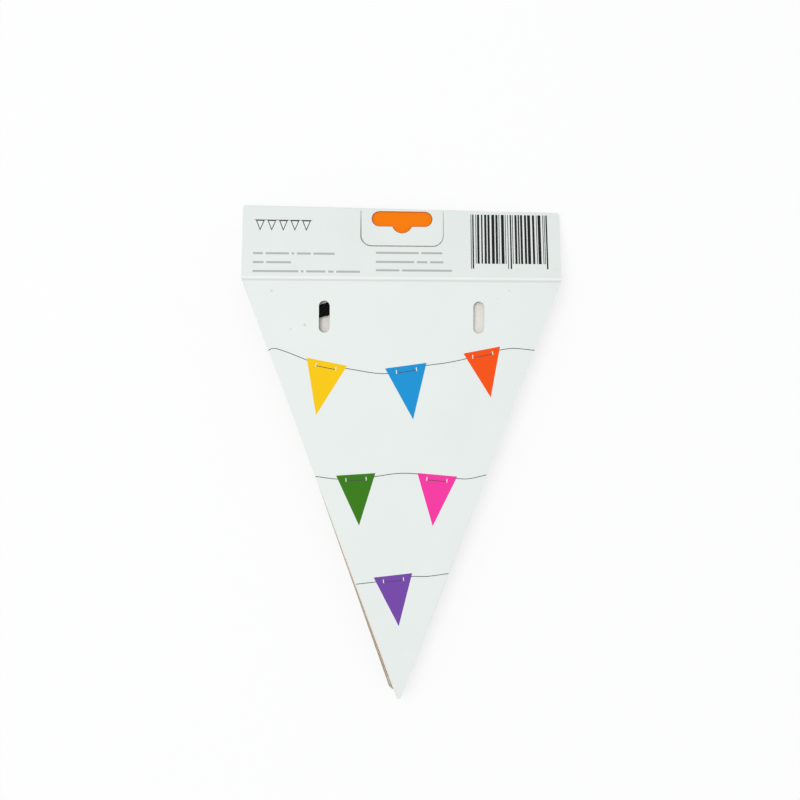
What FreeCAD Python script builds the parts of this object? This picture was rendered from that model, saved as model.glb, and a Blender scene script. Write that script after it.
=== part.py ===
import FreeCAD, Part
import math
import os

# A hang pack of triangular bunting pennants, lying on the table with its back up.
# A white cover, folded at the top, lies on a stack of pennants and holds a flat hank of cord.
# X runs across the pack, Y from the tip up to the top fold, Z up from the table.
# All sizes are in millimetres. The origin is under the middle of the pack.

# Card
card_thickness = 0.5

# Pennants: a stack of equal triangles, trimmed a little narrower than the cover
pennant_count = 24
pennant_height = 170.0
pennant_tip_radius = 1.0
pennant_corner_radius = 1.0
pennant_to_crease = 0.3
fan_turn_top = 0.25
fan_turn_bottom = 1.20
fan_wobble = 0.02
side_wobble = 0.22

# String slots, punched alike in the cover and in each pennant
slot_width = 4.4
slot_length = 13.0
slot_spacing = 62.7
slot_drop = 15.5

# Cover, all one sheet: back panel, crease, back header, top fold, front header, front panel
cover_width = 130.0
cover_margin = 0.3
cover_overhang = 2.0
cover_tip_radius = 0.5
cover_tip_lift = 0.05
front_tip_shift = -0.75
crease_lift_left = 4.8
crease_lift_right = 1.5
header_height = 30.8
header_drop_left = 6.1
header_drop_right = 11.3
header_corner_radius = 1.0

# Hang tab, cut on three sides and hinged at the top fold, with its hang hole
tab_width = 33.4
tab_depth = 14.6
tab_corner_radius = 4.3
tab_slit = 0.35
tab_sag = 0.12
hole_to_fold = 1.0
hole_width = 25.0
hole_height = 6.5
hole_bump_radius = 4.2
hole_bump_drop = 2.8
hole_bump_fillet = 0.8

# Cord, wound into a flat hank that lies askew between the cover's two panels
cord_diameter = 0.8
hank_layers = 3
hank_length = 57.2
hank_width = 15.0
hank_turn = 15.0
hank_slot_to_middle = 2.2
hank_slack = 0.05
droop_start = 1.0
droop_slope = 0.20

# Paper band round the hank
band_width = 8.0
band_paper = 0.15
band_clearance = 0.05
band_from_middle = 7.3

# Worked out from the sizes above; past is how far cutters reach beyond what they cut
pennant_width = cover_width - 2 * cover_margin
cover_height = pennant_height + cover_overhang
stack_top = pennant_count * card_thickness
front_top = stack_top + card_thickness
edge_angle = math.atan2(cover_width / 2, cover_height)
tip_cut = cover_tip_radius * (1 / math.sin(edge_angle) - 1)
run_left = math.sqrt(header_height**2 - header_drop_left**2)
run_right = math.sqrt(header_height**2 - header_drop_right**2)
overall_length = run_left + cover_height - tip_cut
crease_y = overall_length / 2 - run_left
cover_tip_y = crease_y - cover_height
highest = front_top + crease_lift_left + card_thickness
fold_y = crease_y + (run_left + run_right) / 2
slot_y = crease_y - slot_drop
slot_x = slot_spacing / 2
past = 2.0
above_all = highest + 10 * past


def point(x, y, z=0.0):
    return FreeCAD.Vector(x, y, z)


def rounded_wire(corners, radii):
    """Closed flat wire through the corners, each rounded by its own radius; zero keeps it sharp."""
    count = len(corners)
    ends = []
    for i in range(count):
        corner = corners[i]
        before = (corners[i - 1] - corner).normalize()
        after = (corners[(i + 1) % count] - corner).normalize()
        if radii[i] == 0:
            ends.append((corner, None, corner))
            continue
        half = before.getAngle(after) / 2
        middle = (before + after).normalize()
        centre = corner + middle * (radii[i] / math.sin(half))
        start = corner + before * (radii[i] / math.tan(half))
        end = corner + after * (radii[i] / math.tan(half))
        ends.append((start, centre - middle * radii[i], end))
    edges = []
    for i in range(count):
        start, through, end = ends[i]
        if through is not None:
            edges.append(Part.Arc(start, through, end).toShape())
        following = ends[(i + 1) % count][0]
        if end.distanceToPoint(following) > 1e-6:
            edges.append(Part.LineSegment(end, following).toShape())
    return Part.Wire(edges)


def prism(corners, radii, bottom, top):
    """Upright solid between two heights over a rounded outline."""
    flat = [point(corner[0], corner[1], bottom) for corner in corners]
    return Part.Face(rounded_wire(flat, radii)).extrude(point(0, 0, top - bottom))


def rectangle(x, y, half_x, half_y):
    return [
        (x - half_x, y - half_y),
        (x + half_x, y - half_y),
        (x + half_x, y + half_y),
        (x - half_x, y + half_y),
    ]


def slot(x, y, bottom, top):
    """Upright cutter for one slot with fully rounded ends."""
    end = slot_width / 2
    middle = prism(rectangle(x, y, end, slot_length / 2 - end), [0] * 4, bottom, top)
    height = top - bottom
    upper = Part.makeCylinder(end, height, point(x, y + slot_length / 2 - end, bottom))
    lower = Part.makeCylinder(end, height, point(x, y - slot_length / 2 + end, bottom))
    return middle.fuse([upper, lower]).removeSplitter()


def two_slots(y, bottom, top):
    return [slot(side * slot_x, y, bottom, top) for side in (-1, 1)]


def wobble(index):
    """Evenly spread value from -1 to 1 that differs from card to card."""
    return 2 * math.modf(index * 0.618034)[0] - 1


def pennant(index):
    """One triangle with two slots; lower cards are turned more, so the tips fan to the left."""
    top = crease_y - pennant_to_crease
    bottom = index * card_thickness
    corners = [(-pennant_width / 2, top), (0, top - pennant_height), (pennant_width / 2, top)]
    radii = [pennant_corner_radius, pennant_tip_radius, pennant_corner_radius]
    card = prism(corners, radii, bottom, bottom + card_thickness)
    card = card.cut(two_slots(slot_y, bottom - past, bottom + card_thickness + past))
    share = 1 - index / max(pennant_count - 1, 1)
    turn = fan_turn_top + (fan_turn_bottom - fan_turn_top) * share + fan_wobble * wobble(index)
    card.rotate(point(0, top), point(0, 0, 1), -turn)
    card.translate(point(side_wobble * wobble(index + 5), 0))
    return card


def crease_height(side):
    """Top of the crease at one side; the cover lies higher on the left, over the hank."""
    return front_top + (crease_lift_left if side < 0 else crease_lift_right) + card_thickness


def cover_section(side):
    """Section of the folded cover at one side: two long panels and two header panels."""
    x = side * cover_width / 2
    run, drop = (run_left, header_drop_left) if side < 0 else (run_right, header_drop_right)
    t = card_thickness
    crease_z = crease_height(side)
    fold_top = crease_z - drop
    inner_y = crease_y + run - t
    tip_z = front_top + cover_tip_lift
    back = [(cover_tip_y, tip_z), (cover_tip_y, tip_z + t), (crease_y, crease_z), (inner_y, fold_top)]
    nose = [(inner_y, fold_top), (inner_y + t, fold_top - t), (inner_y, fold_top - 2 * t)]
    front = [(inner_y, fold_top - 2 * t), (crease_y, stack_top), (cover_tip_y, stack_top)]
    inside = [
        (cover_tip_y, front_top),
        (crease_y, front_top),
        (inner_y, fold_top - t),
        (crease_y, crease_z - t),
        (cover_tip_y, tip_z),
    ]

    def straight_edges(outline):
        ends = [point(x, y, z) for y, z in outline]
        return [Part.LineSegment(a, b).toShape() for a, b in zip(ends, ends[1:])]

    arc = Part.Arc(*[point(x, y, z) for y, z in nose]).toShape()
    return Part.Wire(straight_edges(back) + [arc] + straight_edges(front + inside))


def above_header_gap():
    """Space above a plane between the two header panels, so that cuts stay in the back panel."""
    wires = []
    for side, run, drop in ((-1, run_left, header_drop_left), (1, run_right, header_drop_right)):
        x = side * cover_width / 2
        inner_y = crease_y + run - card_thickness
        crease_z = crease_height(side)
        inner_z = crease_z - drop - card_thickness
        outline = [
            (inner_y, inner_z),
            (crease_y, (front_top + crease_z - card_thickness) / 2),
            (crease_y, above_all),
            (inner_y + past, above_all),
            (inner_y + past, inner_z),
        ]
        wires.append(Part.makePolygon([point(x, y, z) for y, z in outline + outline[:1]]))
    return Part.makeLoft(wires, True, True)


def hang_tab_cutters():
    """The U-shaped slit round the hang tab and the hang hole with its middle bump."""
    slit_top = fold_y - hole_to_fold
    reach = tab_depth + tab_slit
    half = tab_width / 2 + tab_slit
    round_low = [tab_corner_radius + tab_slit] * 2 + [0, 0]
    outline = rectangle(0, slit_top - reach / 2, half, reach / 2)
    outer = prism(outline, round_low, 0, above_all)
    half_reach = tab_depth / 2 + past
    outline = rectangle(tab_sag, slit_top - tab_depth + half_reach + tab_sag, tab_width / 2, half_reach)
    round_low = [tab_corner_radius] * 2 + [0, 0]
    inner = prism(outline, round_low, -past, above_all + past)
    slit = outer.cut(inner)
    hole_y = slit_top - hole_height / 2
    outline = rectangle(0, hole_y, hole_width / 2, hole_height / 2)
    bar = prism(outline, [hole_height / 2] * 4, 0, above_all)
    bump_y = slit_top - hole_height - hole_bump_drop + hole_bump_radius
    bump = Part.makeCylinder(hole_bump_radius, above_all, point(0, bump_y))
    hole = bar.fuse(bump).removeSplitter()
    bar_low = slit_top - hole_height
    inner_corners = []
    for edge in hole.Edges:
        box = edge.BoundBox
        upright = box.ZLength > 1 and box.XLength < 0.01 and box.YLength < 0.01
        if upright and abs(box.YMin - bar_low) < 0.01 and abs(box.XMin) < hole_bump_radius:
            inner_corners.append(edge)
    return slit, hole.makeFillet(hole_bump_fillet, inner_corners)


def long_triangle(tip_x):
    """Upright prism over one side of the cover below the crease; its sides run on past the crease."""
    tip = point(tip_x, cover_tip_y)
    ends = [point(side * cover_width / 2, crease_y) for side in (-1, 1)]
    left, right = [end + (end - tip).normalize() * 2 * past for end in ends]
    corners = [(left.x, left.y), (tip.x, tip.y), (right.x, right.y)]
    return prism(corners, [0, cover_tip_radius, 0], -2 * past, above_all + past)


def cover():
    """The folded sheet, cut to its outline, slots, hang tab and hang hole."""
    sheet = Part.makeLoft([cover_section(-1), cover_section(1)], True, True)
    between = front_top + cover_tip_lift / 2
    cutters = []
    for tip_x, low, high in ((0, between, above_all), (front_tip_shift, -past, between)):
        below = prism(rectangle(0, crease_y - cover_height, cover_width, cover_height), [0] * 4, low, high)
        cutters.append(below.cut(long_triangle(tip_x)))
    for side, run in ((-1, run_left), (1, run_right)):
        r = header_corner_radius
        x = side * (cover_width / 2 - r)
        y = crease_y + run - r
        square = prism(rectangle(x + side * r, y + r, r, r), [0] * 4, -past, above_all)
        cutters.append(square.cut(Part.makeCylinder(r, above_all + 4 * past, point(x, y, -2 * past))))
    cutters += two_slots(slot_y, front_top + card_thickness, above_all)
    region = above_header_gap()
    for cutter in hang_tab_cutters():
        cutters.append(cutter.common(region))
    return sheet.cut(cutters)


def hank_place(along, across):
    """Plan position for a distance along and across the skewed hank, from its middle."""
    turn = math.radians(hank_turn)
    along += hank_slot_to_middle
    across += hank_width / 2
    x = -slot_x + along * math.cos(turn) - across * math.sin(turn)
    y = slot_y + along * math.sin(turn) + across * math.cos(turn)
    return (x, y)


def drooping_slab(bottom, top):
    """Level slab that bends down past the crease, as the header does."""
    start = crease_y + droop_start
    end = crease_y + header_height
    fall = droop_slope * (end - start)
    outline = [
        (crease_y - pennant_height, bottom),
        (start, bottom),
        (end, bottom - fall),
        (end, top - fall),
        (start, top),
        (crease_y - pennant_height, top),
    ]
    wire = Part.makePolygon([point(-cover_width / 2, y, z) for y, z in outline + outline[:1]])
    return Part.Face(wire).extrude(point(cover_width, 0, 0))


def hank_outline(half_length, half_width):
    signs = [(-1, -1), (1, -1), (1, 1), (-1, 1)]
    return [hank_place(a * half_length, b * half_width) for a, b in signs]


hank_bottom = front_top + band_paper + band_clearance
hank_top = hank_bottom + hank_layers * cord_diameter + hank_slack


def cord_hank():
    """Outer shape of the wound cord: a flat oval that bends with the header."""
    outline = hank_outline(hank_length / 2, hank_width / 2)
    plan = prism(outline, [hank_width / 2] * 4, -past, above_all)
    return drooping_slab(hank_bottom, hank_top).common(plan)


def cord_band():
    """Strip of paper round the hank, glued to itself."""
    solids = []
    for extra, longer in ((band_clearance + band_paper, 0), (band_clearance, past)):
        near = band_from_middle - band_width / 2 - longer
        far = band_from_middle + band_width / 2 + longer
        half = hank_width / 2 + extra
        outline = [hank_place(a, b) for a, b in ((near, -half), (far, -half), (far, half), (near, half))]
        plan = prism(outline, [0] * 4, -past, above_all)
        solids.append(drooping_slab(hank_bottom - extra, hank_top + extra).common(plan))
    return solids[0].cut(solids[1])


def save(shape, name):
    solids = shape.Solids
    if len(solids) != 1 or not solids[0].isValid() or not solids[0].isClosed():
        raise RuntimeError(f"{name}: {len(solids)} solids")
    solids[0].exportStep(f"parts/{name}.step")
    print(f"{name}: {solids[0].Volume:.2f} mm3")


os.makedirs("parts", exist_ok=True)
save(cover(), "cover")
for index in range(pennant_count):
    save(pennant(index), f"pennant_{index + 1:02d}")
save(cord_hank(), "cord_hank")
save(cord_band(), "cord_band")
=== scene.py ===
import math

import bmesh
import bpy
import numpy as np
from mathutils.geometry import delaunay_2d_cdt
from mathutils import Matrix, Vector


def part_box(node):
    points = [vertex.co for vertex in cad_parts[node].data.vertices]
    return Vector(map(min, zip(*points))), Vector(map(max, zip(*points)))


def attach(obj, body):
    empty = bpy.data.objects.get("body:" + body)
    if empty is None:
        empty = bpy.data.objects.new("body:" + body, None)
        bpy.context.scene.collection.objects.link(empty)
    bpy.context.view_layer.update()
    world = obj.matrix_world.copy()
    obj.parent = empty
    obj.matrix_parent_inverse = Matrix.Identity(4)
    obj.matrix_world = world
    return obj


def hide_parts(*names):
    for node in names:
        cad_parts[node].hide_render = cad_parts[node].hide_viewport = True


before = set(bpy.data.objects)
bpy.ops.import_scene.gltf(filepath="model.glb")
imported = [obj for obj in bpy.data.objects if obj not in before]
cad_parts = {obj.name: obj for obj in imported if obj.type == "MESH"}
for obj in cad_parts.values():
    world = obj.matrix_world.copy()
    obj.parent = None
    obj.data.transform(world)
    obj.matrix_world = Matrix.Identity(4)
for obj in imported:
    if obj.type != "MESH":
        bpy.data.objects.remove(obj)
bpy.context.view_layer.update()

# Pennants: 24 triangles punched from 400 g card and stacked front side down, a little out of line.
# The card is printed bright on its front and pale with dots on its back. The punch leaves its cut
# edge bare, grey-brown and slightly rounded over, which is what shows along the stack's left side.
pennant_inks = {
    "card_yellow": ((0.98, 0.61, 0.004), (0.93, 0.84, 0.52)),
    "card_blue": ((0.013, 0.305, 0.68), (0.52, 0.75, 0.88)),
    "card_orange": ((0.97, 0.091, 0.007), (0.93, 0.66, 0.50)),
    "card_green": ((0.045, 0.205, 0.010), (0.60, 0.80, 0.58)),
    "card_pink": ((0.956, 0.045, 0.376), (0.93, 0.64, 0.75)),
    "card_purple": ((0.188, 0.070, 0.402), (0.72, 0.64, 0.85)),
}
board_inks = (0.21, 0.16, 0.105), (0.13, 0.095, 0.062)
board_roughness = 0.85
fibre_scale = (900.0, 900.0, 9000.0)
punched_edge_round = 0.0002
punched_edge_angle = math.radians(40)
back_dot_pitch = 0.009
back_dot_radius = 0.0016
back_dot_white = (0.9, 0.9, 0.88)
cloud_size = 0.018
cloud_shade = 0.05
darkest_cloud = 0.955
cloud_gloss = 0.10
pebble_size = 0.00045
pebble_gloss = 0.08
pebble_height = 0.00003


class Finish:
    """A value inside a material. Plain arithmetic on it adds the Math nodes that work it out."""

    def __init__(self, tree, socket=None):
        self.tree = tree
        self.socket = socket

    def node(self, kind, settings, values, output=0):
        """Add a node of any kind: its settings first, then a number or a link for each input."""
        made = self.tree.nodes.new("ShaderNode" + kind)
        for name, value in settings.items():
            setattr(made, name, value)
        for name, value in values.items():
            if isinstance(value, Finish):
                self.tree.links.new(value.socket, made.inputs[name])
            else:
                made.inputs[name].default_value = value
        return Finish(self.tree, made.outputs[output])

    def calculate(self, operation, *values):
        return self.node("Math", {"operation": operation}, dict(enumerate(values)))

    def __add__(self, other):
        return self.calculate("ADD", self, other)

    def __mul__(self, other):
        return self.calculate("MULTIPLY", self, other)

    def __sub__(self, other):
        return self.calculate("SUBTRACT", self, other)

    def __rsub__(self, other):
        return self.calculate("SUBTRACT", other, self)

    def __lt__(self, other):
        return self.calculate("LESS_THAN", self, other)

    def __gt__(self, other):
        return self.calculate("GREATER_THAN", self, other)

    __radd__ = __add__
    __rmul__ = __mul__

    def colour_mix(self, colour, other):
        """Colour where this value is 0 and the other one where it is 1."""
        values = {0: self, 6: colour, 7: other}
        return self.node("Mix", {"data_type": "RGBA"}, values, 2)

    def noise(self, size, detail=2.0):
        """Noise whose lumps are about this size in metres, from 0 to 1."""
        place = self.node("TexCoord", {}, {}, "Object")
        return self.node("TexNoise", {}, {"Vector": place, "Scale": 1 / size, "Detail": detail})

    def fade_out(self, reach):
        """1 where this value is 0, falling to 0 where it comes to the reach."""
        ends = {"Value": self, "From Min": 0.0, "From Max": reach, "To Min": 1.0, "To Max": 0.0}
        return self.node("MapRange", {}, ends)


def rgba(colour):
    return (*colour, 1.0)


def new_finish(name):
    """Empty material with its shader and a blank value to build on."""
    material = bpy.data.materials.new(name)
    material.use_nodes = True
    tree = material.node_tree
    return material, tree.nodes["Principled BSDF"], Finish(tree)


def connect(shader, name, value):
    """Give one socket of the shader a number or colour, or link a value to it."""
    if isinstance(value, Finish):
        value.tree.links.new(value.socket, shader.inputs[name])
    else:
        shader.inputs[name].default_value = value


def card_coating(shader, blank, colour, roughness):
    """Finish of coated card: faint clouds in its tone and gloss, and a very fine pebble."""
    clouds = blank.noise(cloud_size, 3.0)
    pebble = blank.noise(pebble_size, 2.0)
    shade = clouds * cloud_shade + darkest_cloud
    tint = blank.node("CombineColor", {}, {"Red": shade, "Green": shade, "Blue": shade})
    mixing = {"data_type": "RGBA", "blend_type": "MULTIPLY"}
    toned = blank.node("Mix", mixing, {0: 1.0, 6: colour, 7: tint}, 2)
    height = {"Strength": 0.12, "Distance": pebble_height, "Height": pebble}
    smoothest = roughness - (cloud_gloss + pebble_gloss) / 2
    connect(shader, "Base Color", toned)
    connect(shader, "Roughness", clouds * cloud_gloss + pebble * pebble_gloss + smoothest)
    connect(shader, "Normal", blank.node("Bump", {}, height))


def printed_card(name, bright, pale):
    """Card that is bright on the face that looks down and pale with white dots on the other."""
    material, shader, blank = new_finish(name)
    facing = blank.node("NewGeometry", {}, {}, "True Normal")
    up = blank.node("SeparateXYZ", {}, {"Vector": facing}, "Z") > 0.0
    place = blank.node("TexCoord", {}, {}, "Object")
    scale = {0: place, 1: (1 / back_dot_pitch, 1 / back_dot_pitch, 0.0)}
    cells = blank.node("VectorMath", {"operation": "MULTIPLY"}, scale)
    inside = blank.node("VectorMath", {"operation": "FRACTION"}, {0: cells})
    from_middle = blank.node("VectorMath", {"operation": "SUBTRACT"}, {0: inside, 1: (0.5, 0.5, 0.0)})
    distance = blank.node("VectorMath", {"operation": "LENGTH"}, {0: from_middle}, "Value")
    dot = distance < back_dot_radius / back_dot_pitch
    dotted = dot.colour_mix(rgba(pale), rgba(back_dot_white))
    card_coating(shader, blank, up.colour_mix(rgba(bright), dotted), 0.5)
    return material


def bare_board(name, groove_shade_and_fuzz, dark):
    """Cut edge of board: pressed fibres in thin level layers, dull and rough."""
    material, shader, blank = new_finish(name)
    place = blank.node("TexCoord", {}, {}, "Object")
    layered = blank.node("Mapping", {}, {"Vector": place, "Scale": fibre_scale})
    fibres = blank.node("TexNoise", {}, {"Vector": layered, "Scale": 1.0, "Detail": 3.0})
    connect(shader, "Base Color", fibres.colour_mix(rgba(dark), rgba(groove_shade_and_fuzz)))
    connect(shader, "Roughness", fibres * 0.1 + board_roughness)
    height = {"Strength": 0.3, "Distance": 0.00004, "Height": fibres}
    connect(shader, "Normal", blank.node("Bump", {}, height))
    return material


def joined_copy(node):
    """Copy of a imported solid's mesh with its loose triangles joined and flat ones made one face."""
    work = bmesh.new()
    work.from_mesh(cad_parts[node].data)
    bmesh.ops.remove_doubles(work, verts=work.verts, dist=1e-6)
    flat = math.radians(0.2)
    bmesh.ops.dissolve_limit(work, angle_limit=flat, verts=work.verts, edges=work.edges)
    mesh = bpy.data.meshes.new(node)
    work.to_mesh(mesh)
    work.free()
    return mesh


def add_piece(name, mesh):
    """Put a finished mesh into the scene, riding on the one body."""
    piece = bpy.data.objects.new(name, mesh)
    bpy.context.scene.collection.objects.link(piece)
    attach(piece, "root")
    return piece


board_edge = bare_board("board_edge", *board_inks)
pennant_cards = {name: printed_card(name, *inks) for name, inks in pennant_inks.items()}
pennants = sorted(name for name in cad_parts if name.startswith("pennant_"))
for number, node in enumerate(pennants):
    slot_name = list(pennant_inks)[number % len(pennant_inks)]
    mesh = joined_copy(node)
    mesh.materials.append(pennant_cards[slot_name])
    mesh.materials.append(board_edge)
    facing = np.empty(len(mesh.polygons) * 3)
    mesh.polygons.foreach_get("normal", facing)
    upright = np.abs(facing.reshape(-1, 3)[:, 2]) < 0.5
    mesh.polygons.foreach_set("material_index", upright.astype(np.int32))
    piece = add_piece("punched_" + node, mesh)
    rounding = piece.modifiers.new("rounded_edge", "BEVEL")
    rounding.width = punched_edge_round
    rounding.segments = 2
    rounding.limit_method = "ANGLE"
    rounding.angle_limit = punched_edge_angle
    rounding.material = 1
    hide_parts(node)

# Cover, first its shape: one sheet of white coated card, folded at the top. The back panel is
# scored and bent at the crease, and the header beyond it droops towards the top fold, more on the
# right. Past the fold the sheet runs back under the cord as the front header and front panel.
card_thickness = 0.0005
header_length = 0.0308
header_drops = (0.0061, 0.0113)
cover_height = 0.172
crease_lifts = (0.0048, 0.0015)
tip_lift = 0.00005
tip_radius = 0.0005
front_tip_shift = -0.00075
corner_radius = 0.001
crease_rounding = 0.0010
crease_bead = 0.00022
points_across = 27
same_point = 1e-8
cover_low, cover_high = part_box("cover")
half_width = cover_high.x
header_runs = tuple(math.sqrt(header_length**2 - drop**2) for drop in header_drops)
crease_y = cover_high.y - header_runs[0]
tip_y = crease_y - cover_height
stack_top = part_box(pennants[-1])[1].z
tip_z = stack_top + 2 * card_thickness + tip_lift


def between(pair, x):
    """Straight change across the cover from the pair's left value to its right one."""
    share = (x + half_width) / (2 * half_width)
    return pair[0] + (pair[1] - pair[0]) * share


def crease_height(x):
    return stack_top + 2 * card_thickness + between(crease_lifts, x)


def fold_start(x):
    """Where the header ends and the half-round top fold starts, one thickness before its edge."""
    return crease_y + between(header_runs, x) - card_thickness


def along_header(x, y):
    """0 at the crease and 1 where the top fold starts."""
    return (y - crease_y) / (fold_start(x) - crease_y)


def back_height(x, y):
    """Upper face: straight from tip to crease, straight lines from crease to fold beyond it.
    Near the crease a parabola rounds the ridge, and the score adds a low cosine bead."""
    rise = crease_height(x) - tip_z
    panel = tip_z + rise * (y - tip_y) / cover_height
    header = tip_z + rise - between(header_drops, x) * along_header(x, y)
    near = np.clip(1 - np.abs(y - crease_y) / crease_rounding, 0, 1)
    bend = between(header_drops, x) / (fold_start(x) - crease_y) + rise / cover_height
    bead = crease_bead * np.sin(near * math.pi / 2) ** 2
    return np.minimum(panel, header) - near**2 * crease_rounding * bend / 4 + bead


def front_height(x, y):
    """Lower face: level on the stack up to the crease, then straight lines to the top fold."""
    far = crease_height(x) - between(header_drops, x) - 2 * card_thickness
    return np.where(y > crease_y, stack_top + (far - stack_top) * along_header(x, y), stack_top)


def arc(x, y, radius, start, end, count=9):
    """Points round a centre from one angle to another, in degrees."""
    angle = np.radians(np.linspace(start, end, count))
    return np.column_stack((x + radius * np.cos(angle), y + radius * np.sin(angle)))


def cover_outline(tip_x):
    """Plan outline of either long side of the sheet: tip arc, crease ends, corner arcs and fold.
    The tip arc's middle lies radius / sin(half the tip angle) above the sharp tip."""
    left_lean = math.atan2(half_width + tip_x, cover_height)
    right_lean = math.atan2(half_width - tip_x, cover_height)
    away = tip_radius / math.sin((left_lean + right_lean) / 2)
    lean = (right_lean - left_lean) / 2
    ends = 180 + math.degrees(left_lean), 360 - math.degrees(right_lean)
    tip = arc(tip_x + away * math.sin(lean), tip_y + away * math.cos(lean), tip_radius, *ends)
    sides = []
    for side in (1, -1):
        middle_y = fold_start(side * half_width) + card_thickness - corner_radius
        middle_x = side * (half_width - corner_radius)
        start, end = (0, 30) if side > 0 else (180, 150)
        crease_end = np.array([[side * half_width, crease_y]])
        corner = arc(middle_x, middle_y, corner_radius, start, end, 5)
        sides.append(np.vstack((crease_end, corner)))
    reach = sides[0][-1, 0]
    x = np.linspace(reach, -reach, points_across)
    fold = np.column_stack((x, fold_start(x)))
    sides[0][-1] = fold[0]
    sides[1][-1] = fold[-1]
    return np.vstack((tip, sides[0], fold[1:-1], sides[1][::-1]))


def counter_clockwise(shape):
    x, y = shape.T
    area = np.sum(x * np.roll(y, -1) - np.roll(x, -1) * y)
    return shape if area > 0 else shape[::-1]


def triangles(outline, holes, prints, bends):
    """Plan triangles of one side of the sheet, split along its holes, prints and crease lines.
    Gives their corners, and for each triangle the place of its print in the list, or -1."""
    level = np.linspace(-1, 1, points_across) * half_width * 0.99
    loose = []
    for row in np.linspace(0.1, 0.9, 7):
        loose.append(np.column_stack((level, crease_y + row * (fold_start(level) - crease_y))))
    lines = []
    for offset in bends:
        end = half_width * min(1, 1 + offset / cover_height)
        x = np.linspace(-end, end, points_across)
        lines.append(np.column_stack((x, np.full(points_across, crease_y + offset))))
    shapes = [counter_clockwise(shape) for shape in (outline, *holes, *prints)]
    parts = shapes + lines + loose
    starts = np.cumsum([0] + [len(part) for part in parts])
    faces = [list(range(starts[i], starts[i + 1])) for i in range(len(shapes))]
    edges = []
    for i in range(len(shapes), len(shapes) + len(lines)):
        edges += [(a, a + 1) for a in range(starts[i], starts[i + 1] - 1)]
    corners = [tuple(corner) for corner in np.vstack(parts)]
    made = delaunay_2d_cdt(corners, edges, faces, 0, same_point)
    points = np.array([tuple(corner) for corner in made[0]])
    kept = []
    inks = []
    for face, sources in zip(made[2], made[5]):
        if 0 not in sources or any(1 <= source <= len(holes) for source in sources):
            continue
        kept.append(face)
        inks.append(max(sources) - len(holes) - 1 if max(sources) > len(holes) else -1)
    return points, np.array(kept), np.array(inks)


def slot_outline(x, y, width, length):
    end = length / 2 - width / 2
    upper = arc(x, y + end, width / 2, 0, 180, 17)
    return np.vstack((upper, arc(x, y - end, width / 2, 180, 360, 17)))


# Cover, then what is punched out of it: a round-ended string slot on each side, and in the header
# a hang tab that is free on three sides, with a hang hole that has a round bump at its middle.
string_slot_width = 0.0044
string_slot_length = 0.013
string_slot_x = 0.03135
string_slot_y = crease_y - 0.0155
hole_top = crease_y + sum(header_runs) / 2 - 0.001
hole_end_radius = 0.00325
hole_half_width = 0.0125
bump_radius = 0.0042
bump_y = hole_top - 0.0093 + bump_radius
bump_fillet = 0.0008
tab_half_width = 0.0167
tab_depth = 0.0146
tab_corner = 0.0043
tab_slit = 0.00035
tab_off_line = 0.00012
tab_sink = 0.00035


def hang_hole(inset):
    """Bar with round ends, and a round bump below it joined by two small fillets. An inset draws
    the same outline smaller by that much all round."""
    bar_y = hole_top - hole_end_radius
    end_x = hole_half_width - hole_end_radius
    fillet_y = hole_top - 2 * hole_end_radius - bump_fillet
    fillet_x = math.sqrt((bump_radius + bump_fillet) ** 2 - (bump_y - fillet_y) ** 2)
    lean = math.degrees(math.atan2(bump_y - fillet_y, fillet_x))
    return np.vstack((
        arc(end_x, bar_y, hole_end_radius - inset, -90, 90, 13),
        arc(-end_x, bar_y, hole_end_radius - inset, 90, 270, 13),
        arc(-fillet_x, fillet_y, bump_fillet + inset, 90, lean, 5),
        arc(0, bump_y, bump_radius - inset, 180 + lean, 360 - lean, 15)[1:-1],
        arc(fillet_x, fillet_y, bump_fillet + inset, 180 - lean, 90, 5),
    ))


def tab_edge(middle, half, depth, radius):
    """Open line down the tab's left side, round its two corners and up its right side."""
    low = hole_top - depth
    left = arc(middle - half + radius, low + radius, radius, 180, 270)
    right = arc(middle + half - radius, low + radius, radius, 270, 360)
    ends = [[middle - half, hole_top]], [[middle + half, hole_top]]
    return np.vstack((ends[0], left, right, ends[1]))


slit = np.vstack((
    tab_edge(0, tab_half_width + tab_slit, tab_depth + tab_slit, tab_corner + tab_slit),
    tab_edge(tab_off_line, tab_half_width, tab_depth - tab_off_line, tab_corner)[::-1],
))
slot_sizes = (string_slot_y, string_slot_width, string_slot_length)
cover_holes = [slot_outline(side * string_slot_x, *slot_sizes) for side in (-1, 1)]
cover_holes += [hang_hole(0), slit]

# Cover, then its print: three strings of six plain pennants on the back panel, each threaded on
# its string through two short slits, and on the header thin grey rules, a small row of pennant
# outlines and a field of black bars. All of it is flat ink on the card.
print_lift = -0.0004
string_ink_width = 0.00030
printed_strings = [
    [(-54.4, -29.1), (-50.6, -28.2), (-38.9, -32.5), (-32.3, -35.3), (-22.8, -36.0), (-8.0, -38.1),
     (1.8, -36.6), (10.2, -34.7), (18.5, -33.5), (26.0, -31.9), (33.2, -29.8), (40.2, -28.2),
     (45.9, -27.5), (54.6, -28.3)],
    [(-35.2, -79.9), (-26.1, -81.0), (-18.3, -80.9), (-10.3, -79.9), (-1.1, -78.6), (6.8, -78.8),
     (15.0, -80.3), (23.0, -80.6), (27.9, -80.6), (34.9, -79.0)],
    [(-18.6, -123.9), (-10.2, -122.9), (-3.0, -122.0), (4.5, -120.6), (11.0, -120.5),
     (19.6, -119.3)],
]
printed_pennants = {
    "ink_yellow": (-30.23, -33.36, 11.2, 16.7, 22.1),
    "ink_blue": (1.80, -34.77, -8.1, 17.0, 22.1),
    "ink_orange": (32.65, -28.24, -11.1, 15.2, 19.6),
    "ink_green": (-18.30, -79.06, -3.9, 16.0, 20.9),
    "ink_pink": (14.87, -79.08, 4.9, 16.3, 21.0),
    "ink_purple": (-2.98, -120.13, -6.8, 15.8, 20.9),
}
slit_half_spacing = 4.1
slit_drop = 1.86
slit_above = 0.6
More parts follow.
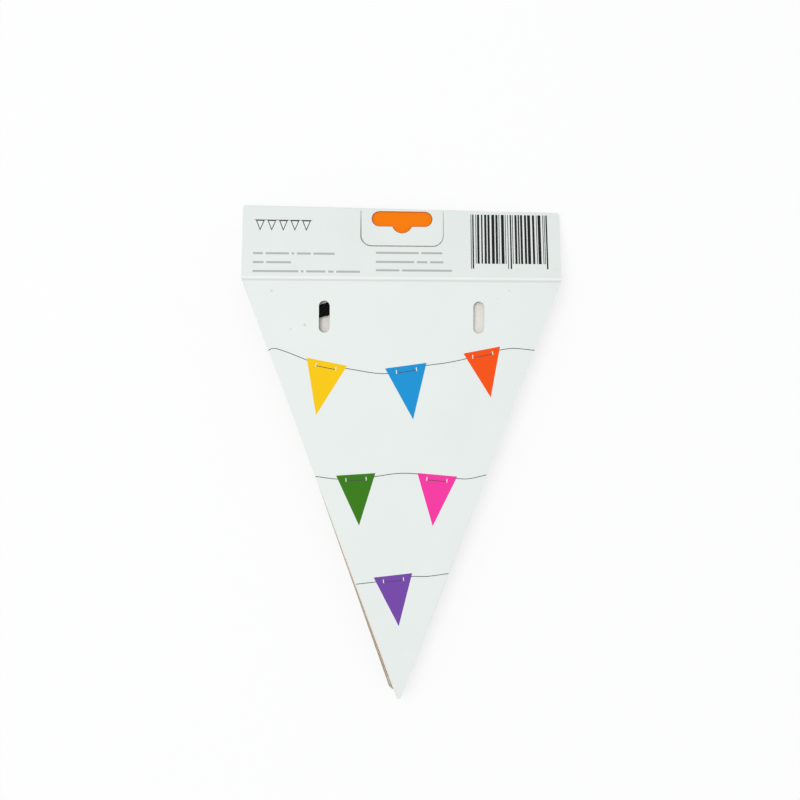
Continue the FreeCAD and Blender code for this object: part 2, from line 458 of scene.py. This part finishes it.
slit_below = 0.9
slit_width = 0.34
rule_height = 0.85
rules = [
    (-60.5, 10.2, (4.0, 9.5, 1.0, 5.6, 8.6)),
    (-60.5, 6.5, (4.4, 10.0)),
    (-60.5, 2.8, (18.5, 1.0, 7.8, 2.2, 9.6)),
    (-10.6, 10.8, (17.4, 8.6)),
    (-10.6, 7.0, (15.6, 4.3, 5.4)),
    (-10.6, 3.5, (9.6, 20.3)),
]
rule_gap = 1.1
bar_field = (28.2, 60.4)
bar_heights = (7.0, 27.9)
guard_low = 4.9
guard_middle = (0.47, 0.53)
guard_right = 0.95
bar_module = 0.33
bar_ink_share = 0.92
badge_left = -60.2
badge_line = 24.4
badge_pitch = 4.7
badge_count = 5
badge_size = (3.6, 4.4)
badge_rule = 0.25
badge_stroke = 0.34
badge_side_inset = 1.6
badge_tip_inset = 2.6


def on_panel(points):
    """Millimetres from the middle of the crease to places on the cover in metres."""
    return np.array(points) * 0.001 + (0, crease_y + print_lift)


def smooth_line(points, steps=5):
    """Curve through the points: each stretch is the cubic that leans along its two neighbours."""
    points = np.array(points)
    padded = np.vstack((2 * points[0] - points[1], points, 2 * points[-1] - points[-2]))
    before, here, after, beyond = padded[:-3], padded[1:-2], padded[2:-1], padded[3:]
    t = np.linspace(0, 1, steps, endpoint=False)[None, :, None]
    before, here, after, beyond = (end[:, None, :] for end in (before, here, after, beyond))
    bent = (2 * before - 5 * here + 4 * after - beyond) * t**2
    twisted = (3 * here - before - 3 * after + beyond) * t**3
    curve = 0.5 * (2 * here + (after - before) * t + bent + twisted)
    return np.vstack((curve.reshape(-1, 2), points[-1:]))


def ribbon(line, width):
    """Closed outline that runs half a width beside the line on one side and back on the other."""
    along = np.gradient(line, axis=0)
    along /= np.linalg.norm(along, axis=1)[:, None]
    aside = np.column_stack((-along[:, 1], along[:, 0])) * width / 2
    return np.vstack((line + aside, (line - aside)[::-1]))


def rectangle(left, low, right, high):
    return np.array([(left, low), (right, low), (right, high), (left, high)])


def on_pennant(x, y, turn, points):
    """Points given along and down from the middle of a printed pennant's top edge."""
    turn = math.radians(turn)
    along = np.array((math.cos(turn), -math.sin(turn)))
    down = np.array((-math.sin(turn), -math.cos(turn)))
    points = np.array(points)
    return (x, y) + points[:, :1] * along + points[:, 1:] * down


def bar_edges():
    """Left and right ends of the bars: bars of one to four modules, gaps of one or two, evenly mixed."""
    left = bar_field[0]
    bars = []
    count = 0
    while left < bar_field[1] - 3 * bar_module:
        width = 1 + (count * count + count // 3) % 4
        gap = 1 + (count * 5 + count // 4) % 2
        bars.append((left, left + width * bar_module * bar_ink_share))
        left += (width + gap) * bar_module
        count += 1
    return bars


prints = []
print_inks = []


def add_print(ink, outline):
    """Print a closed outline, given in millimetres from the middle of the crease."""
    prints.append(on_panel(outline))
    print_inks.append(ink)


for string in printed_strings:
    add_print("ink_grey", ribbon(smooth_line(string), string_ink_width * 1000))
for ink, (x, y, turn, width, height) in printed_pennants.items():
    place = (x, y, turn)
    add_print(ink, on_pennant(*place, [(-width / 2, 0), (0, height), (width / 2, 0)]))
    loop_down = slit_drop + slit_above
    loop = on_pennant(*place, [(-slit_half_spacing, loop_down), (slit_half_spacing, loop_down)])
    add_print("ink_grey", ribbon(loop, string_ink_width * 1000))
    for side in (-1, 1):
        x = side * slit_half_spacing
        slit_line = on_pennant(*place, [(x, slit_drop - slit_above), (x, slit_drop + slit_below)])
        add_print("ink_white", ribbon(slit_line, slit_width))
for left, low, words in rules:
    for word in words:
        add_print("ink_pale_grey", rectangle(left, low, left + word, low + rule_height))
        left += word + rule_gap
for number, (left, right) in enumerate(bar_edges()):
    share = (left - bar_field[0]) / (bar_field[1] - bar_field[0])
    is_guard = number < 2 or share > guard_right or guard_middle[0] < share < guard_middle[1]
    low = guard_low if is_guard else bar_heights[0]
    add_print("ink_black", rectangle(left, low, right, bar_heights[1]))
badge_right = badge_left + badge_count * badge_pitch
add_print("ink_grey", rectangle(badge_left, badge_line, badge_right, badge_line + badge_rule))
for number in range(badge_count):
    x = badge_left + (number + 0.5) * badge_pitch
    for ink, inset in (("ink_grey", 0), ("ink_white", badge_stroke)):
        half = badge_size[0] / 2 - badge_side_inset * inset
        top = badge_line - inset
        low = badge_line - badge_size[1] + badge_tip_inset * inset
        add_print(ink, np.array([(x - half, top), (x, low), (x + half, top)]))

# Cover, last its sheet: the upper and lower sides meet in the half-round top fold, and a second
# skin one card inside them with the bare cut edge between makes it real card. The inside of the
# front header is printed orange, which is what the hang hole shows. Round the hole it is a darker
# orange, painted shade that shows as a thin dark rim just inside the hole's edge.
card_white = (0.83, 0.87, 0.84)
ink_colours = {
    "ink_yellow": (0.98, 0.61, 0.004),
    "ink_blue": (0.013, 0.305, 0.68),
    "ink_orange": (0.97, 0.091, 0.007),
    "ink_green": (0.045, 0.205, 0.010),
    "ink_pink": (0.956, 0.045, 0.376),
    "ink_purple": (0.188, 0.070, 0.402),
    "ink_grey": (0.075, 0.078, 0.080),
    "ink_pale_grey": (0.48, 0.50, 0.50),
    "ink_black": (0.020, 0.021, 0.022),
    "ink_white": (0.86, 0.89, 0.87),
}
inside_orange = (1.0, 0.22, 0.003)
# Painted shade: the orange patch is a darker orange all over, except within a thin ring inside the hang
# hole's outline, so the hole shows a dark rim at its edge.
hole_edge_shade = (0.42, 0.105, 0.018)
hole_shade_width = 0.0003
orange_patches = [on_panel(rectangle(-15.4, 17.2, 15.4, 29.4)), hang_hole(hole_shade_width)]
inside_white = (0.91, 0.885, 0.83)
# Painted shade: a grey line just below the crease. Painted highlight: a pale line just above it.
crease_shade_below = 0.0007
crease_shade_width = 0.0006
crease_shade_strength = 0.32
crease_highlight_above = 0.0004
crease_highlight_width = 0.0006
crease_highlight_white = (0.95, 0.965, 0.95)
scuffs = [
    (43.7, -4.1, 0.5), (38.9, -7.3, 0.35), (63.1, 4.7, 0.35),
    (-52.7, -4.8, 0.8), (-44.9, -20.2, 0.7), (-39.3, -18.5, 0.9),
]
# Grey of the scuffs, also used for the painted shade just below the crease.
scuff_and_shade_grey = (0.42, 0.40, 0.37)
speck_size = 0.0005
speck_strength = 0.9
cover_gloss = 0.2
cover_board_inks = (0.62, 0.56, 0.47), (0.45, 0.38, 0.30)


def plain_card(name, colour, roughness=0.45, gloss=0.05):
    material, shader, blank = new_finish(name)
    card_coating(shader, blank, rgba(colour), roughness)
    connect(shader, "Specular IOR Level", gloss)
    return material


def line_across(blank, place, y, width):
    """1 on a line straight across the sheet at this height, fading to 0 a width to both sides."""
    away = blank.calculate("ABSOLUTE", blank.node("SeparateXYZ", {}, {"Vector": place}, "Y") - y)
    return away.fade_out(width)


def scuffed_card(name, colour, roughness=0.45):
    """White card with a few small grey scuffs: each fades out from its middle to its radius. Just below
    the crease a greyer line is painted shade, and just above it a paler line is a painted highlight."""
    material, shader, blank = new_finish(name)
    place = blank.node("TexCoord", {}, {}, "Object")
    marks = []
    for x, y, radius in scuffs:
        spot_x, spot_y = on_panel([(x, y)])[0]
        offset = {0: place, 1: (spot_x, spot_y, 0.0)}
        away = blank.node("VectorMath", {"operation": "SUBTRACT"}, offset)
        flat = blank.node("VectorMath", {"operation": "MULTIPLY"}, {0: away, 1: (1.0, 1.0, 0.0)})
        distance = blank.node("VectorMath", {"operation": "LENGTH"}, {0: flat}, "Value")
        marks.append(distance.fade_out(radius * 0.001))
    specks = blank.noise(speck_size) * sum(marks[1:], marks[0])
    # Painted shade along the crease and a painted highlight just above it, mixed in with the scuffs'
    # grey.
    crease_shade = line_across(blank, place, crease_y - crease_shade_below, crease_shade_width)
    crease_highlight = line_across(blank, place, crease_y + crease_highlight_above, crease_highlight_width)
    scuffs_and_crease_shade = crease_shade * crease_shade_strength + specks * speck_strength
    card_with_highlight = crease_highlight.colour_mix(rgba(colour), rgba(crease_highlight_white))
    card_coating(shader, blank, scuffs_and_crease_shade.colour_mix(card_with_highlight, rgba(scuff_and_shade_grey)), roughness)
    connect(shader, "Specular IOR Level", cover_gloss)
    return material


def tab_depth_at(points):
    """How far the free end of the hang tab sinks: the square of the way from its hinge to its end.
    A point belongs to the tab if it lies within the tab's rounded outline."""
    away = np.abs(points[:, 0] - tab_off_line) - (tab_half_width - tab_corner)
    low = hole_top - tab_depth + tab_off_line + tab_corner - points[:, 1]
    nearest = np.hypot(np.clip(away, 0, None), np.clip(low, 0, None))
    below_hinge = np.clip((hole_top - points[:, 1]) / tab_depth, 0, None)
    return tab_sink * below_hinge**2 * (nearest < tab_corner + tab_slit / 4)


def top_fold(fold):
    """Half-round nose between the sides: half circles round the fold's inner line, closing in
    towards the rounded corners. Gives its outer and inner points and its quads."""
    turn = np.radians(np.linspace(90, -90, 9))[:, None]
    out = card_thickness * np.cos(turn)
    corner_x = half_width - corner_radius
    reach = np.sqrt(corner_radius**2 - (corner_radius - card_thickness + out) ** 2)
    x = fold[None, :, 0] / np.abs(fold[:, 0]).max() * (corner_x + reach)
    inner_z = crease_height(x) - between(header_drops, x) - card_thickness
    outer = np.stack((x, fold_start(x) + out, inner_z + card_thickness * np.sin(turn)), axis=-1)
    inner = np.stack((x, fold_start(x), inner_z), axis=-1)
    count = len(fold)
    first = (np.arange(8)[:, None] * count + np.arange(count - 1)).ravel()
    quads = np.column_stack((first, first + 1, first + count + 1, first + count))
    return outer.reshape(-1, 3), inner.reshape(-1, 3), quads


def cover_sheet(name):
    """Whole sheet: both long sides and the fold make the outer skin. The inner skin lies one card
    inside it, turned over, and a strip along every free edge joins the two."""
    outline = cover_outline(0.0)
    fold = outline[np.abs(outline[:, 1] - fold_start(outline[:, 0])) < 1e-7]
    bends = crease_rounding * np.linspace(-1, 1, 9)
    back, back_faces, inks = triangles(outline, cover_holes, prints, bends)
    front, front_faces, patches = triangles(cover_outline(front_tip_shift), [], orange_patches, [0])
    back_top = np.column_stack((back, back_height(*back.T) - tab_depth_at(back)))
    front_low = np.column_stack((front, front_height(*front.T)))
    nose, nose_inner, nose_quads = top_fold(fold)
    lift = np.array((0, 0, card_thickness))
    outer = np.vstack((back_top, front_low, nose))
    inner = np.vstack((back_top - lift, front_low + lift, nose_inner))
    nose_triangles = np.vstack((nose_quads[:, [0, 1, 2]], nose_quads[:, [0, 2, 3]]))
    front_faces = front_faces[:, ::-1] + len(back)
    faces = np.vstack((back_faces, front_faces, nose_triangles + len(back) + len(front)))
    _, keep, joined = np.unique(np.round(outer, 7), axis=0, return_index=True, return_inverse=True)
    faces = joined.ravel()[faces]
    outer, inner = outer[keep], inner[keep]
    materials = ["card_white", "card_inside", "painted_hole_shade", "header_inside", "card_edge", *ink_colours]
    looks = [materials.index(print_inks[ink]) if ink >= 0 else 0 for ink in inks]
    looks = np.array(looks + [0] * (len(faces) - len(looks)))
    inner_looks = np.ones(len(faces), int)
    inner_looks[len(back_faces):len(back_faces) + len(patches)] = patches + 2
    edges = np.vstack((faces[:, [0, 1]], faces[:, [1, 2]], faces[:, [2, 0]]))
    _, first, times = np.unique(np.sort(edges, axis=1), axis=0, return_index=True, return_counts=True)
    free = edges[first[times == 1]]
    count = len(outer)
    rim = np.column_stack((free[:, 1], free[:, 0], free[:, 0] + count, free[:, 1] + count))
    everything = [*faces.tolist(), *(faces[:, ::-1] + count).tolist(), *rim.tolist()]
    mesh = bpy.data.meshes.new(name)
    mesh.from_pydata(np.vstack((outer, inner)).tolist(), [], everything)
    looks = np.concatenate((looks, inner_looks, np.full(len(rim), 4))).astype(np.int32)
    mesh.polygons.foreach_set("material_index", looks)
    mesh.polygons.foreach_set("use_smooth", np.ones(len(looks), bool))
    mesh.set_sharp_from_angle(angle=math.radians(35))
    mesh.materials.append(scuffed_card("card_white", card_white))
    mesh.materials.append(plain_card("card_inside", inside_white, 0.6))
    mesh.materials.append(plain_card("painted_hole_shade", hole_edge_shade))
    mesh.materials.append(plain_card("header_inside", inside_orange))
    mesh.materials.append(bare_board("card_edge", *cover_board_inks))
    for ink, colour in ink_colours.items():
        mesh.materials.append(plain_card(ink, colour))
    mesh.validate()
    return mesh


cover = add_piece("folded_cover", cover_sheet("folded_cover"))
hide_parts("cover")

# Cord: 2 m of thin black twisted string for hanging the pennants, wound into a flat hank of three
# layers. It lies askew between the cover's two sides, where the left slot shows its lower edge.
cord_diameter = 0.0008
hank_turn = math.radians(15)
hank_from_slot = (0.0022, 0.0075)
straight_half = 0.0211
outer_turn_radius = 0.0071
turns_per_layer = 17.5 / 3
points_per_turn = 18
hank_layers = 3
band_under_hank = 0.0002
droop_after = 0.001
droop_slope = 0.20
arc_step = 30
straight_share = 0.55
climb_points = 6
strand_scale = (2600.0, 2.0, 1.0)
string_blacks = (0.002, 0.002, 0.002), (0.016, 0.015, 0.014)


def wound_cord():
    """Points of the winding. Each turn is a running track of two straights and two half circles.
    Its radius shrinks by a diameter a turn in one layer and grows in the next, and each layer
    lies one diameter higher. The points of an arc lie outside it, as the curve cuts in."""
    per_layer = int(round(turns_per_layer * points_per_turn))
    step = np.arange(per_layer * hank_layers + 1)
    layer = np.minimum(step // per_layer, hank_layers - 1)
    into = (step - layer * per_layer) / points_per_turn
    from_outside = np.where(layer % 2 == 0, into, turns_per_layer - into)
    radius = outer_turn_radius - cord_diameter * from_outside
    climb = np.clip((step - layer * per_layer) / climb_points, 0, 1)
    level = np.where(layer > 0, layer - 1 + climb, 0.0)
    arc_turn = np.radians(np.arange(arc_step / 2 - 90, 90, arc_step))
    swing = np.concatenate((arc_turn, [math.pi / 2] * 3, arc_turn + math.pi, [1.5 * math.pi] * 3))
    back_along = np.array((straight_share, 0, -straight_share))
    middle = np.concatenate(([1] * 6, back_along, [-1] * 6, -back_along))
    on_arc = np.concatenate(([1] * 6, [0] * 3, [1] * 6, [0] * 3))
    place = step % points_per_turn
    bulge = np.where(on_arc[place] == 1, radius / math.cos(math.radians(arc_step / 2)), radius)
    along = middle[place] * straight_half + bulge * np.cos(swing[place]) + hank_from_slot[0]
    across = bulge * np.sin(swing[place]) + hank_from_slot[1]
    x = -string_slot_x + along * math.cos(hank_turn) - across * math.sin(hank_turn)
    y = string_slot_y + along * math.sin(hank_turn) + across * math.cos(hank_turn)
    droop = droop_slope * np.clip(y - crease_y - droop_after, 0, None)
    floor = stack_top + card_thickness + band_under_hank + cord_diameter / 2
    return np.column_stack((x, y, floor + level * cord_diameter - droop))


def twisted_string(name):
    """Black string of two twisted strands: the grooves between them run slanting along it."""
    material, shader, blank = new_finish(name)
    place = blank.node("TexCoord", {}, {}, "UV")
    strands = {"Vector": place, "Scale": strand_scale}
    slant = blank.node("Mapping", {}, strands)
    parts = blank.node("SeparateXYZ", {}, {"Vector": slant}, "X")
    round_it = blank.node("SeparateXYZ", {}, {"Vector": slant}, "Y")
    groove = blank.calculate("SINE", (parts + round_it) * math.pi)
    fuzz = blank.noise(0.0002)
    # Colour is darker in the grooves between the strands, a painted shade, and the fuzz adds random
    # tone.
    groove_shade_and_fuzz = groove * 0.3 + fuzz * 0.5
    darkest, lightest = string_blacks
    connect(shader, "Base Color", groove_shade_and_fuzz.colour_mix(rgba(darkest), rgba(lightest)))
    connect(shader, "Specular IOR Level", 0.1)
    connect(shader, "Roughness", fuzz * 0.2 + 0.6)
    height = {"Strength": 0.6, "Distance": 0.0001, "Height": groove}
    connect(shader, "Normal", blank.node("Bump", {}, height))
    return material


route = wound_cord()
cord_line = bpy.data.curves.new("hank_cord", "CURVE")
cord_line.dimensions = "3D"
cord_line.bevel_depth = cord_diameter / 2
cord_line.bevel_resolution = 2
cord_line.use_fill_caps = True
cord_line.resolution_u = 4
spline = cord_line.splines.new("NURBS")
spline.points.add(len(route) - 1)
spline.points.foreach_set("co", np.column_stack((route, np.ones(len(route)))).ravel())
spline.order_u = 3
spline.use_endpoint_u = True
cord_line.materials.append(twisted_string("black_string"))
cord = bpy.data.objects.new("hank_cord", cord_line)
bpy.context.scene.collection.objects.link(cord)
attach(cord, "root")
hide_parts("cord_hank")

# Band: a strip of plain paper wrapped once round the middle of the hank and glued to itself. The
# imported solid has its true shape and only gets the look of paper.
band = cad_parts["cord_band"]
band_paper, shader, blank = new_finish("band_paper")
fibres = blank.noise(0.0012, 4.0)
connect(shader, "Base Color", fibres.colour_mix((0.52, 0.50, 0.44, 1.0), (0.66, 0.64, 0.58, 1.0)))
connect(shader, "Roughness", fibres * 0.1 + 0.8)
height = {"Strength": 0.3, "Distance": 0.00005, "Height": fibres}
connect(shader, "Normal", blank.node("Bump", {}, height))
band.data.materials.clear()
band.data.materials.append(band_paper)

# Table: a plain white surface. Seen by the camera or in a reflection it is mostly its own even
# white, so the background stays clean, and the rest of it takes light and keeps the shadow.
table_half = 6.0
own_white = 0.75
grid = np.array([(-1, -1), (1, -1), (1, 1), (-1, 1)]) * table_half
table_mesh = bpy.data.meshes.new("table")
table_mesh.from_pydata([(x, y, 0.0) for x, y in grid.tolist()], [], [(0, 1, 2, 3)])
table = bpy.data.objects.new("table", table_mesh)
bpy.context.scene.collection.objects.link(table)
table_paper, shader, blank = new_finish("table_paper")
connect(shader, "Base Color", (0.97, 0.97, 0.97, 1.0))
connect(shader, "Roughness", 1.0)
connect(shader, "Specular IOR Level", 0.0)
path = blank.node("LightPath", {}, {}, "Is Camera Ray")
path = path + blank.node("LightPath", {}, {}, "Is Glossy Ray")
path = path + blank.node("LightPath", {}, {}, "Is Transmission Ray")
white = blank.node("Emission", {}, {"Color": (1.0, 1.0, 1.0, 1.0), "Strength": 1.0}, "Emission")
lit = Finish(blank.tree, shader.outputs[0])
mixed = blank.node("MixShader", {}, {0: path * own_white, 1: lit, 2: white})
blank.tree.links.new(mixed.socket, blank.tree.nodes["Material Output"].inputs["Surface"])
table_mesh.materials.append(table_paper)

# Light: an even white room, and one large soft lamp from the upper left that shapes the creases.
room_strength = 0.52
lamp_power = 13.5
lamp_place = (-0.30, 0.12, 1.6)
lamp_size = 0.9
room = bpy.data.worlds.new("room")
room.use_nodes = True
tree = room.node_tree
start = Finish(tree)
seen = start.node("LightPath", {}, {}, "Is Camera Ray")
backdrop = start.node("Background", {}, {"Color": (1.0, 1.0, 1.0, 1.0), "Strength": 1.0})
even = start.node("Background", {}, {"Color": (0.97, 0.99, 1.0, 1.0), "Strength": room_strength})
mixed = start.node("MixShader", {}, {0: seen, 1: even, 2: backdrop})
tree.links.new(mixed.socket, tree.nodes["World Output"].inputs["Surface"])
bpy.context.scene.world = room
lamp_data = bpy.data.lights.new("soft_lamp", "AREA")
lamp_data.shape = "DISK"
lamp_data.size = lamp_size
lamp_data.energy = lamp_power
lamp = bpy.data.objects.new("soft_lamp", lamp_data)
lamp.location = lamp_place
aim = -np.array(lamp_place)
lamp.rotation_euler = (math.acos(-aim[2] / np.linalg.norm(aim)), 0, math.atan2(-aim[0], aim[1]))
bpy.context.scene.collection.objects.link(lamp)

# Camera: straight above the pack, as the photograph was taken, and turned very slightly.
camera_above_cover = 0.6195
camera_x = -0.00047
camera_y = 0.0213
camera_roll = math.radians(0.3)
camera_lens = 68.9
camera_data = bpy.data.cameras.new("camera")
camera_data.sensor_width = 36
camera_data.lens = camera_lens
camera_data.clip_start = 0.01
camera = bpy.data.objects.new("camera", camera_data)
camera.location = (camera_x, camera_y, cover_high.z + camera_above_cover)
camera.rotation_euler = (0, 0, camera_roll)
bpy.context.scene.collection.objects.link(camera)
bpy.context.scene.camera = camera
bpy.context.scene.view_settings.view_transform = "Standard"
